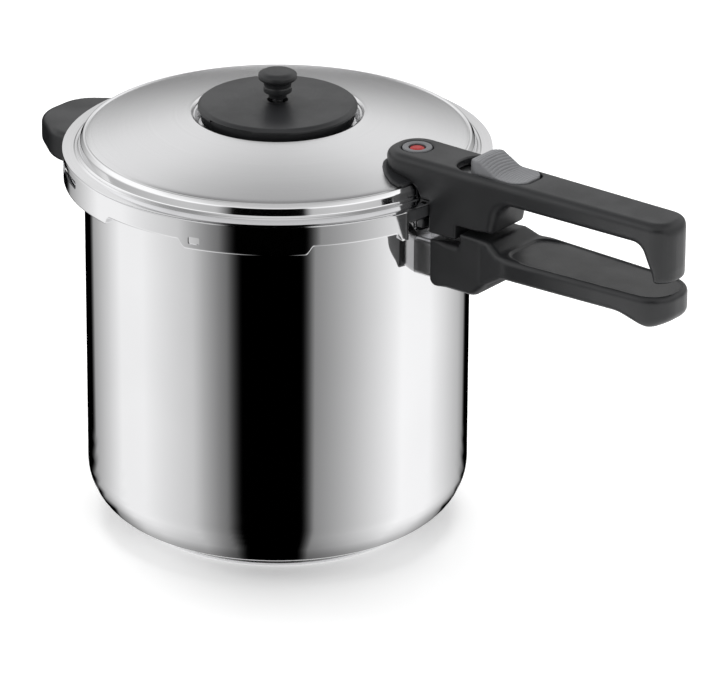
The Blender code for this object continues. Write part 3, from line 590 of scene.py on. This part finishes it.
def underplate_field(x, y, z):
    """The shell between the handle's nose and the lid, which spreads into a foot towards the lid's border."""
    seam = rounded(
        [
            (80.0, 200.0), (80.0, 246.2), (98.3, 241.35, 12.0), (108.4, 239.9, 4.0),
            (113.9, 237.1, 2.0), (116.3, 232.1, 0.5), (122.0, 232.1), (122.0, 200.0),
        ]
    )
    half = [
        (86.0, -12.5, 8), (95.0, -21.5, 10), (102.5, -25.4, 8),
        (109.3, -25.2, 3), (112.0, -16.6, 2), (122.0, -16.4),
    ]
    foot = rounded(mirrored(half), 8)
    from_foot = outline_distance(foot, x, y)
    from_plan = outline_distance(handle_plan(inset=0.2, start=84.7), x, y)
    radius = np.hypot(x, y)
    border = 238.3 - 0.45 * np.maximum(radius - 111.6, 0) ** 1.75
    lid = np.where(radius < 110.4, dome_height(radius), border)
    lid = np.maximum(lid, 230.5)
    over = z - lid
    layer = meet(from_foot, over - 2.0, 1.4)
    body = unite(layer, meet(outline_distance(seam, x, z), from_plan, 0.7), 2.0)
    body = np.maximum(body, np.minimum(x - 110.5, np.abs(y) - 15.0))
    return np.maximum(body, 0.15 - over)


def helper_handle_field(x, y, z):
    plan = rounded(
        [(-100, -38), (-142, -37, 22), (-169, -17, 24), (-169, 17, 24), (-142, 37, 22), (-100, 38)], 12
    )
    side = rounded(
        [(-100, 216), (-174, 216), (-174, 199, 3), (-128, 197, 8), (-120, 192, 8), (-100, 192)], 8
    )
    shape = meet(outline_distance(side, x, z), outline_distance(plan, x, y), 4.6)
    wide = np.hypot(x, y)
    grip = rounded([(-134, -26, 5), (-152, -22, 10), (-152, 22, 10), (-134, 26, 5)], 8)
    for gap, soft in (
        (np.maximum(wide - 126.2, slab(z, 209.3, 230.0)), 0.8),
        (np.maximum(wide - 112.3, slab(z, 150.0, 230.0)), 0.3),
        (block(x, y, z, (-130.3, -14.3, 194.7), (-105, 14.3, 205.3)), 0.2),
        (rod(x, y, z, SCREW_ROOM_R, 188.0, 194.0, HELPER_SCREW_X), 0.2),
        (rod(x, y, z, SCREW_HOLE_R, 188.0, 196.0, HELPER_SCREW_X), 0.2),
        (np.maximum(outline_distance(grip, x, y), slab(z, 190.0, 206.0)), 1.0),
    ):
        shape = remove(shape, gap, soft)
    return shape


def slider_field(x, y, z):
    """The thumb slider: a smooth bowed front, a hump and a hollow with arched ribs for the thumb."""
    side = rounded(
        [
            (143.2, 245.9), (183.2, 245.9), (183.2, 254.5, 2.0), (166.0, 254.5, 12.0),
            (153.2, 261.6, 4.5), (147.0, 260.8, 4.5), (143.2, 256.6, 4.0),
        ],
        8,
    )
    plan = rounded(
        [(143.2, -12.1, 11.0), (183.2, -12.1, 8.5), (183.2, 12.1, 8.5), (143.2, 12.1, 11.0)], 12
    )
    from_plan = outline_distance(plan, x, y)
    thumb = meet(outline_distance(side, x, z), from_plan, 0.9)
    arch = np.hypot(x - 196.0, y * 0.9)
    rib = 0.5 + 0.5 * np.cos(2 * np.pi * arch / 1.8)
    where = ease(x, 148.5, 150.5) * ease(z, 253.4, 254.6) * ease(-from_plan, 0.2, 1.2)
    thumb = thumb + 0.55 * rib**4 * where
    flange = block(x, y, z, (141.3, -13.7, 245.95), (186.9, 13.7, 248.85))
    return np.minimum(thumb, flange)


def make_handles():
    cell = FINE_CELL
    pot = skin("pot_handle_grip", pot_handle_field, (122, -25, 178), (286, 25, 222), cell)
    place_piece(pot, "pot", "black_plastic", "pot_handle")
    lid = skin("lid_handle_grip", lid_handle_field, (83, -19, 209), (286, 19, 257), cell)
    place_piece(lid, "lid", "black_plastic", "lid_handle")
    under = skin("nose_underplate", underplate_field, (82, -29, 226), (124, 29, 248), cell * 0.6)
    place_piece(under, "lid", "black_plastic", "lid_handle_underplate")
    helper = skin("helper_handle_grip", helper_handle_field, (-171, -41, 189), (-98, 41, 218), cell)
    place_piece(helper, "pot", "black_plastic", "helper_handle")
    thumb = skin("slider_thumb", slider_field, (140, -15, 244.5), (188, 15, 266), cell * 0.5)
    place_piece(thumb, "slider", "grey_plastic", "lock_slider")


# ---------------------------------------------------------------- lid


def make_lid():
    dome = [(r, dome_height(r)) for r in np.linspace(51.2, 109.6, 30)]
    well = rounded(
        [
            (9.4, 243.0), (45.8, 243.0, 1.0), (47.2, 244.6, 0.8), (48.7, 250.4, 0.6),
            (50.2, 251.6, 0.7), dome[0],
        ],
        6,
        False,
    )
    border = rounded(
        [
            dome[-1], (110.6, 237.75, 0.25), (111.0, 238.1, 0.5), (112.2, 238.4, 1.0), (114.1, 236.0, 2.5),
            (115.0, 231.9, 1.2), (116.2, 231.0, 0.4), (116.9, 231.5, 0.5), (117.9, 230.7, 0.6),
            (124.4, 230.5, 0.35),
        ],
        8,
        False,
    )
    below = rounded(
        [
            (124.4, 229.4, 0.35), (114.4, 229.4, 0.8), (112.6, 235.6, 2.0),
            (111.2, 237.0, 0.8), (109.4, 236.8),
        ],
        6,
        False,
    )
    below = [(124.4, 229.6)] + below[1:] + [(r, z - 1.2) for r, z in reversed(dome)]
    below += [(49.4, 250.1), (47.6, 249.6), (46.4, 244.6), (45.4, 241.8), (9.4, 241.8)]
    lid = lathe("lid_dome", well + dome[1:] + border[1:] + below, 240, closed=True)
    place_piece(lid, "lid", "lid_steel", "lid_shell", slot="satin_steel")


def ring_profile(turn):
    """The bayonet ring's section: a skirt, deeper and with a turned-in lip where it grips the pot."""
    deep = 1.0 - float(ease(degrees_off(turn, LUGS), 16.2, 18.4))
    low = 216.5 - 5.0 * deep
    lip = 122.7 - 4.7 * deep
    return [
        (123.3, 229.2), (123.8, 229.0), (124.0, 228.4), (124.0, 228.0), (124.0, 219.5),
        (124.0, low + 1.6), (124.0, low + 1.1), (123.75, low + 0.45), (123.2, low),
        (lip, low), (lip - 0.25 * deep, low + 0.3), (lip - 0.25 * deep, low + 0.8), (lip, low + 1.1),
        (122.9, low + 1.2), (122.9, low + 1.6), (122.9, 229.0),
    ]


def make_ring():
    """The ring runs round from one side of the handle to the other, with rounded ends and two openings."""
    half, end = 14.5, 0.9  # degrees: half the gap at the handle, and the length of a rounded end
    edges = [lug + side * 17.3 for lug in LUGS for side in (-1, 1)]
    turns = bearings(300, edges)
    turns = turns[(turns > half + 1.0) & (turns < 360 - half - 1.0)]
    taper = end * (1 - np.cos(np.linspace(0, math.pi / 2, 7)))
    turns = np.concatenate([half + taper, turns, (360 - half - taper)[::-1]])
    vertices, faces = [], []
    for turn in turns:
        share = min(1.0, (min(turn, 360 - turn) - half) / end)
        plump = math.sqrt(max(0.0, 1 - (1 - share) ** 2)) * 0.9 + 0.1
        bearing = math.radians(turn)
        for r, z in ring_profile(turn):
            r = RING_MIDDLE_R + (r - RING_MIDDLE_R) * plump if r > 122.6 else r
            vertices.append((r * math.cos(bearing) * MM, r * math.sin(bearing) * MM, z * MM))
    count = len(ring_profile(0))
    for i in range(len(turns) - 1):
        for k in range(count):
            after = (k + 1) % count
            a, b = i * count, (i + 1) * count
            faces.append((a + k, a + after, b + after, b + k))
    faces.append(tuple(range(count)))
    faces.append(tuple((len(turns) - 1) * count + k for k in range(count)))
    ring = finish_mesh("locking_ring", vertices, faces)
    carve(
        ring,
        opening("window", -129.0, 9.4, 220.3, 225.3, 1.6),
        opening("mark_slot", -73.5, 1.6, 214.9, 219.2, 0.8),
    )
    place_piece(ring, "lid", "rim_steel", "bayonet_ring", slot="polished_steel")


def opening(name, bearing, half, low, high, corner):
    """A cutter through the skirt: a rounded window at a bearing, with half its width given in degrees."""
    skirt = 124.0
    wide = math.radians(half) * skirt
    outline = rounded(
        [(-wide, low, corner), (wide, low, corner), (wide, high, corner), (-wide, high, corner)], 8
    )
    vertices, count = [], len(outline)
    for radius in (119.0, 128.0):
        for u, z in outline:
            turn = math.radians(bearing) + u / skirt
            vertices.append((radius * math.cos(turn) * MM, radius * math.sin(turn) * MM, z * MM))
    faces = [(k, (k + 1) % count, count + (k + 1) % count, count + k) for k in range(count)]
    faces += [tuple(range(count)), tuple(count + k for k in range(count))]
    return finish_mesh(name, vertices, faces)


def carve(obj, *cutters):
    """Cuts shapes out of a mesh for good, and removes them."""
    for cutter in cutters:
        modifier = obj.modifiers.new("cut", "BOOLEAN")
        modifier.operation = "DIFFERENCE"
        modifier.object = cutter
    graph = bpy.context.evaluated_depsgraph_get()
    mesh = bpy.data.meshes.new_from_object(obj.evaluated_get(graph))
    obj.modifiers.clear()
    obj.data = mesh
    for cutter in cutters:
        bpy.data.objects.remove(cutter, do_unlink=True)
    mesh.shade_smooth()
    mesh.set_sharp_from_angle(angle=math.radians(SHARP_ANGLE))


def make_gasket():
    profile = rounded(
        [
            (113.4, 228.2, 0.4), (121.8, 228.2, 0.4), (122.2, 227.8, 0.3), (122.2, 222.4, 0.6),
            (121.6, 221.1, 0.5), (116.0, 221.1, 1.0), (112.6, 221.6, 0.5), (112.0, 222.2, 0.3),
            (112.4, 222.8, 0.3), (117.6, 223.4, 0.5), (117.6, 225.4, 0.5), (113.0, 227.2, 0.4),
        ],
        5,
    )
    place_piece(lathe("sealing_ring", profile, 192, closed=True), "gasket", "silicone", "gasket")


def make_valve():
    def cover(turn):
        gap = 1.0 - float(ease(degrees_off(turn, [-89]), 18.6, 19.4))
        rim = 253.8 + 1.75 * gap
        return rounded(
            [
                (6.0, 253.4), (6.0, 258.7, 0.4), (9.0, 258.15, 2.0), (34.0, 257.35, 40.0), (44.2, 257.0, 3.0),
                (46.2, 255.3, 1.3), (46.1, rim, 0.35), (44.8, rim, 0.35), (44.5, 255.75, 0.2),
                (44.3, 247.2, 0.3), (43.0, 247.2, 0.3),
                (42.6, 254.6, 0.6), (34.0, 255.0, 2.0), (14.0, 255.2, 1.0),
                (14.0, 247.0, 0.3), (10.8, 247.0, 0.3), (10.8, 253.4, 0.5),
            ],
            5,
        )

    disc = lathe("valve_cover_disc", cover, 160, closed=True, edges=(252.0, 290.0))
    place_piece(disc, "lid", "black_plastic", "valve_cover")
    knob = rounded(
        [
            (0.0, 276.5), (8.4, 275.9, 7.0), (11.2, 274.4, 1.4), (11.2, 271.6, 1.8), (8.2, 269.4, 1.2),
            (7.9, 267.2, 0.8), (8.2, 266.4, 0.5), (8.2, 263.6, 0.6), (5.4, 262.8, 0.6), (5.2, 260.0, 0.3),
            (3.3, 260.0, 0.2), (3.3, 262.9, 0.2), (0.0, 262.9),
        ],
        8,
        False,
    )
    place_piece(lathe("valve_knob_grip", knob, 96), "valve_stem", "black_plastic", "valve_knob")
    spring = helix("valve_coil", 0.0, 238.9, 249.5, 5.2, 0.9, 5)
    place_piece(spring, "lid", "plain_steel", "valve_spring")
    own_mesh(spring)


def make_indicator():
    bezel = rounded(
        [
            (5.0, 251.3, 0.2), (5.0, 254.0, 0.4), (6.6, 254.25, 0.5),
            (8.3, 254.3, 0.5), (8.7, 253.7, 0.3), (8.7, 251.3, 0.2),
        ],
        5,
    )
    ring = lathe("indicator_ring", bezel, 96, x=INDICATOR_X, closed=True)
    place_piece(ring, "lid", "bezel_grey", "indicator_bezel")
    cap = rounded(
        [
            (0.0, 253.9), (2.6, 253.8, 3.0), (4.1, 253.3, 0.7),
            (4.5, 252.2, 0.5), (4.5, 248.3, 0.2), (0.0, 248.3),
        ],
        8,
        False,
    )
    button = lathe("indicator_button", cap, 64, x=INDICATOR_X)
    place_piece(button, "indicator", "signal_red", "indicator_cap")


def make_pawl_spring():
    spring = helix("pawl_coil", PAWL_X, 222.3, 238.1, 3.7, 0.8, 6)
    place_piece(spring, "lid", "plain_steel", "pawl_spring")
    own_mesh(spring)


def dress_cad_nodes():
    """Gives each CAD node that is shown as it is a finish."""
    finishes = {
        "base_core": "aluminium", "catch_plate": "plain_steel", "helper_handle_bracket": "plain_steel",
        "helper_handle_screw": "plain_steel", "indicator_guide": "brass", "indicator_nut": "brass",
        "indicator_pin": "plain_steel", "indicator_seal": "silicone", "lid_handle_bracket": "plain_steel",
        "lid_handle_screw": "plain_steel", "lock_pawl": "plain_steel", "poppet_seal": "silicone",
        "pot_handle_bracket": "satin_steel", "pot_handle_screw": "plain_steel", "slider_plate": "plain_steel",
        "valve_cap": "plain_steel", "valve_housing": "plain_steel", "valve_nut": "plain_steel",
        "valve_seal": "silicone", "valve_stem": "plain_steel",
    }
    for name, finish in finishes.items():
        obj = NODES[name]
        obj.data.materials.clear()
        obj.data.materials.append(FINISH[finish])


# ---------------------------------------------------------------- stage


CAMERA_PLACE = (1.8819, -2.3364, 1.395)
CAMERA_PITCH, CAMERA_YAW, CAMERA_ROLL = 23.187, 0.9217, 0.357  # degrees
LENS, SENSOR_WIDTH = 278.2, 36.0

# Stops of (position, brightness) for what reflections see far away. The first runs from straight down
# to straight up, and the second once round, with the camera's side in the middle.
SKY_BY_HEIGHT = [
    (0.0, 0.4), (0.37, 0.14), (0.455, 0.20), (0.545, 0.36), (0.63, 0.60), (0.71, 0.87),
    (0.82, 0.86), (0.88, 0.49), (0.92, 0.27), (0.96, 0.26), (1.0, 0.55),
]
SKY_ROUND = [(0.0, 1), (0.36, 1), (0.405, 0.85), (0.43, 0), (0.54, 0), (0.553, 0.85), (0.60, 1), (1.0, 1)]

# The brightness that the pot's wall shows at an angle on it, in degrees from the camera's side.
WALL_SHADES = {
    -100: 0.85, -90: 0.0, -76: 0.0, -72: 0.6, -54: 0.92, -44: 0.92, -26: 0.76, -15: 0.42,
    -10.3: 0.0, 7: 0.0, 11: 0.52, 27: 0.77, 40: 0.95, 52: 0.94, 70: 0.7, 75: 0.55,
    78: 0.0, 90: 0.0, 100: 0.85,
}
TENT_R = 200.0
TENT_PROFILE = [(r, 0.5) for r in (88.0, 100, 112.5, 125, 140, 160, 180, TENT_R)]
TENT_PROFILE += [(TENT_R, 120), (TENT_R, 222.0)]


def camera_axes():
    """The level directions to the camera's right and away from it."""
    bearing = math.radians(VIEW_BEARING)
    right = Vector((math.cos(bearing), math.sin(bearing), 0))
    return right, Vector((-math.sin(bearing), math.cos(bearing), 0))


def add_camera():
    right, away = camera_axes()
    pitch, yaw = math.radians(CAMERA_PITCH), math.radians(CAMERA_YAW)
    level = math.sin(yaw) * right + math.cos(yaw) * away
    forward = math.cos(pitch) * level - Vector((0, 0, math.sin(pitch)))
    data = bpy.data.cameras.new("camera")
    data.sensor_width = SENSOR_WIDTH
    data.lens = LENS
    data.clip_start, data.clip_end = 0.1, 50.0
    camera = bpy.data.objects.new("camera", data)
    camera.location = CAMERA_PLACE
    roll = Quaternion((0, 0, 1), math.radians(CAMERA_ROLL))
    camera.rotation_euler = (forward.to_track_quat("-Z", "Y") @ roll).to_euler()
    bpy.context.scene.collection.objects.link(camera)
    bpy.context.scene.camera = camera


def add_world():
    """Even white light, and for reflections a studio: a soft bank behind, a dark flag near the camera."""
    world = bpy.data.worlds.new("studio")
    world.use_nodes = True
    bpy.context.scene.world = world
    tree = world.node_tree
    tree.nodes.clear()
    place = add(tree, "TexCoord").outputs["Generated"]
    turned = add(
        tree, "VectorRotate", {"Vector": place, "Angle": math.radians(-VIEW_BEARING)}, rotation_type="Z_AXIS"
    ).outputs["Vector"]
    split = add(tree, "SeparateXYZ", {"Vector": turned})
    rise = split.outputs["Z"]
    toward = math_node(tree, "MULTIPLY", split.outputs["Y"], -1.0)
    around = math_node(tree, "ARCTAN2", split.outputs["X"], toward)
    around = math_node(tree, "ADD", math_node(tree, "DIVIDE", around, 2 * math.pi), 0.5)
    far = ramp(tree, rescale(tree, rise, -1, 1, 0, 1), SKY_BY_HEIGHT)
    flag = ramp(tree, around, SKY_ROUND)
    high = rescale(tree, rise, 0.45, 0.65, 0.0, 1.0)
    flag = math_node(tree, "MAXIMUM", flag, high)
    near = rescale(tree, split.outputs["Y"], -0.25, 0.15, 1.0, 0.0)
    side = rescale(tree, math_node(tree, "ABSOLUTE", split.outputs["X"]), 0.35, 0.8, 0.0, 1.0)
    lift = math_node(tree, "MULTIPLY", math_node(tree, "MAXIMUM", near, side), 0.3)
    sky = math_node(tree, "MULTIPLY", math_node(tree, "ADD", far, lift), flag)
    path = add(tree, "LightPath")
    strength = rescale(tree, path.outputs["Is Camera Ray"], 0.0, 1.0, 0.55, 1.0)
    shown = add(tree, "Background", {"Color": (1, 1, 1, 1), "Strength": strength})
    seen = add(tree, "Background", {"Color": sky, "Strength": 1.0})
    glossy = path.outputs["Is Glossy Ray"]
    both = add(tree, "MixShader", {0: glossy, 1: shown.outputs[0], 2: seen.outputs[0]})
    out = add(tree, "OutputWorld", {"Surface": both.outputs[0]})
    out.is_active_output = True


def wall_angle_seen(bearing, radius):
    """The angle on the pot's wall, from the camera's side, whose reflection lands at a bearing and radius."""
    angles = np.radians(np.linspace(0, 90, 181))
    beyond = np.sqrt(np.maximum(radius**2 - (WALL_R * np.sin(angles)) ** 2, 0))
    reach = beyond - WALL_R * np.cos(angles)
    lands = angles + np.arctan2(reach * np.sin(angles), WALL_R + reach * np.cos(angles))
    lands = np.maximum.accumulate(lands)
    found = np.interp(np.abs(bearing), lands, angles, right=math.radians(100))
    return np.sign(bearing) * found


def add_reflection_tent():
    """What the mirror-bright wall shows: a ring and a low wall of soft light and dark round the pot.

    Only reflections see it, and only from the inside.
    """
    right, away = camera_axes()
    turns = np.radians(np.arange(0, 360, 1.0) - 180.0)
    vertices, faces, shade = [], [], []
    for radius, z in TENT_PROFILE:
        seen = np.degrees(wall_angle_seen(turns, max(radius, WALL_R + 0.6)))
        # The glow is a painted reflection: each bearing takes the WALL_SHADES brightness of the angle on the wall
        # that reflects it.
        level = (np.interp(seen, list(WALL_SHADES), list(WALL_SHADES.values())) ** 2.2) / 0.9
        # Dimmer close to the pot: painted shade, which darkens the wall's lower curve towards its foot.
        level = level * np.interp(radius, [84, 100, 118, 140], [0.35, 0.5, 0.85, 1.0])
        for turn, bright in zip(turns, level):
            point = radius * (math.sin(turn) * right - math.cos(turn) * away)
            vertices.append((point.x * MM, point.y * MM, z * MM))
            shade.append(bright)
    count = len(turns)
    for i in range(len(TENT_PROFILE) - 1):
        for k in range(count):
            after = (k + 1) % count
            a, b = i * count, (i + 1) * count
            faces.append((a + k, a + after, b + after, b + k))
    mesh = bpy.data.meshes.new("reflection_tent")
    mesh.from_pydata(vertices, [], faces)
    glows = mesh.attributes.new("glow", "FLOAT", "POINT").data
    glows.foreach_set("value", np.array(shade, np.float32))
    if mesh.polygons[0].normal.z < 0:
        mesh.flip_normals()
    tent = bpy.data.objects.new("reflection_tent", mesh)
    bpy.context.scene.collection.objects.link(tent)
    made = bpy.data.materials.new("tent_glow")
    made.use_nodes = True
    tree = made.node_tree
    tree.nodes.clear()
    glow = add(tree, "Attribute", attribute_name="glow").outputs["Fac"]
    light = add(tree, "Emission", {"Color": (1, 1, 1, 1), "Strength": glow})
    clear = add(tree, "BsdfTransparent")
    behind = add(tree, "NewGeometry").outputs["Backfacing"]
    mix = add(tree, "MixShader", {0: behind, 1: light.outputs[0], 2: clear.outputs[0]})
    add(tree, "OutputMaterial", {"Surface": mix.outputs[0]})
    mesh.materials.append(made)
    tent.visible_camera = False
    tent.visible_diffuse = False
    tent.visible_shadow = False
    tent.visible_transmission = False
    tent.visible_volume_scatter = False


def add_floor():
    disc = [(0.0, 0.0), (400.0, 0.0), (1600.0, 0.0)]
    floor = lathe("floor", disc, 96)
    made, tree, shader, place = new_finish("floor_white")
    colour = tint(tree, noise(tree, place, 3.0), (0.93, 0.93, 0.93), (0.95, 0.95, 0.95))
    tree.links.new(colour, shader.inputs["Base Color"])
    tree.links.new(rescale(tree, noise(tree, place, 40.0), 0.3, 0.7, 0.16, 0.2), shader.inputs["Roughness"])
    shader.inputs["Specular IOR Level"].default_value = 0.05
    shader.inputs["Emission Color"].default_value = (1, 1, 1, 1)
    shader.inputs["Emission Strength"].default_value = 0.34
    floor.data.materials.append(made)


def add_light(name, place, target, size, power):
    data = bpy.data.lights.new(name, "AREA")
    data.shape = "DISK"
    data.size = size
    data.energy = power
    light = bpy.data.objects.new(name, data)
    light.location = place
    light.rotation_euler = (Vector(target) - Vector(place)).to_track_quat("-Z", "Y").to_euler()
    light.visible_glossy = False
    light.visible_camera = False
    bpy.context.scene.collection.objects.link(light)


def add_stage():
    scene = bpy.context.scene
    scene.view_settings.view_transform = "Standard"
    right, away = camera_axes()
    add_camera()
    add_world()
    add_floor()
    add_reflection_tent()
    above = Vector((0, 0, 2.2)) + 0.5 * away
    left = -1.6 * right - 0.6 * away + Vector((0, 0, 1.3))
    add_light("top_bank", above, (0, 0, 0.1), size=1.8, power=34.0)
    add_light("left_bank", left, (0, 0, 0.15), size=1.2, power=6.0)


make_pot()
make_base()
make_handles()
make_lid()
make_ring()
make_gasket()
make_valve()
make_indicator()
make_pawl_spring()
dress_cad_nodes()
add_stage()
